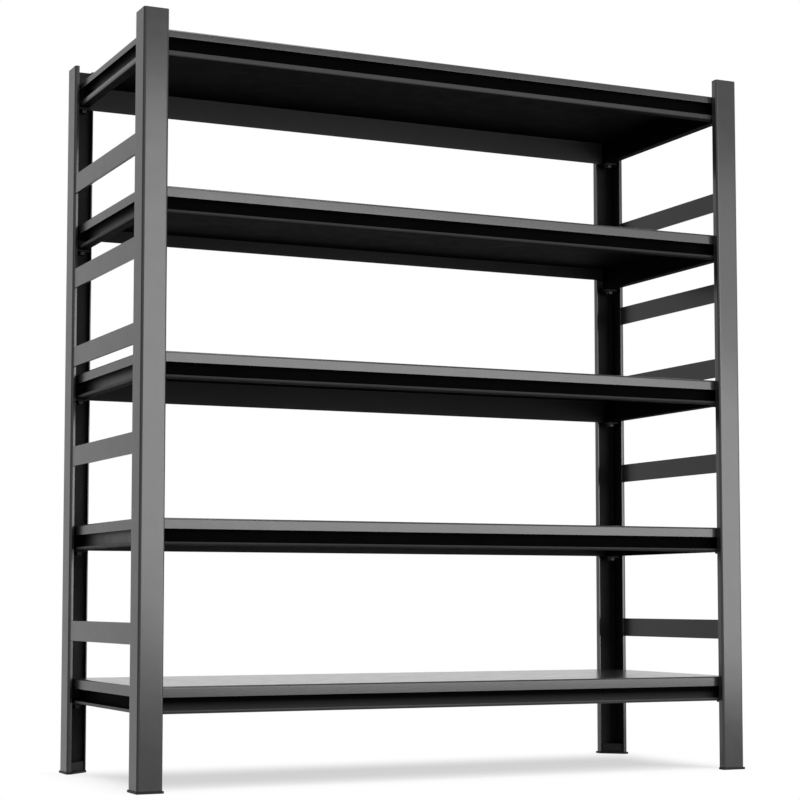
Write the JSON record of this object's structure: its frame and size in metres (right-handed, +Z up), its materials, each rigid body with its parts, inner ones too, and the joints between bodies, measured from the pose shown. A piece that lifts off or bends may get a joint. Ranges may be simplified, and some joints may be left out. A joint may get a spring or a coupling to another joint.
{
  "type": "disc storage rack",
  "caption": "Free-standing, open-backed steel rack: folded corner posts carry flat shelves with turned-down edges, and flat slats close the sides, for standing rows of disc cases.",
  "frame": {"origin": "on the floor, under the middle of the rack", "axes": "+Z up, +Y towards the back, +X to the right of a person facing the front"},
  "size_m": [0.7156, 0.2826, 0.79],
  "materials": {
    "post_paint": "satin powder coat, near black",
    "shelf_paint": "satin powder coat, near black",
    "slat_paint": "satin powder coat, near black",
    "screw_steel": "blackened zinc",
    "cap_plastic": "matt black"
  },
  "bodies": {
    "root": {"post_front_left": "post_paint", "post_front_right": "post_paint", "post_rear_left": "post_paint", "post_rear_right": "post_paint", "foot_cap_front_left": "cap_plastic", "foot_cap_front_right": "cap_plastic", "foot_cap_rear_left": "cap_plastic", "foot_cap_rear_right": "cap_plastic", "shelf_bottom": "shelf_paint", "shelf_lower": "shelf_paint", "shelf_middle": "shelf_paint", "shelf_upper": "shelf_paint", "shelf_top": "shelf_paint", "slat_left_low": "slat_paint", "slat_left_middle": "slat_paint", "slat_left_second": "slat_paint", "slat_left_third": "slat_paint", "slat_left_high": "slat_paint", "slat_right_low": "slat_paint", "slat_right_middle": "slat_paint", "slat_right_second": "slat_paint", "slat_right_third": "slat_paint", "slat_right_high": "slat_paint", "screw_bottom_front_left": "screw_steel", "screw_bottom_front_right": "screw_steel", "screw_bottom_rear_left": "screw_steel", "screw_bottom_rear_right": "screw_steel", "screw_lower_front_left": "screw_steel", "screw_lower_front_right": "screw_steel", "screw_lower_rear_left": "screw_steel", "screw_lower_rear_right": "screw_steel", "screw_middle_front_left": "screw_steel", "screw_middle_front_right": "screw_steel", "screw_middle_rear_left": "screw_steel", "screw_middle_rear_right": "screw_steel", "screw_upper_front_left": "screw_steel", "screw_upper_front_right": "screw_steel", "screw_upper_rear_left": "screw_steel", "screw_upper_rear_right": "screw_steel", "screw_top_front_left": "screw_steel", "screw_top_front_right": "screw_steel", "screw_top_rear_left": "screw_steel", "screw_top_rear_right": "screw_steel"}
  },
  "joints": []
}
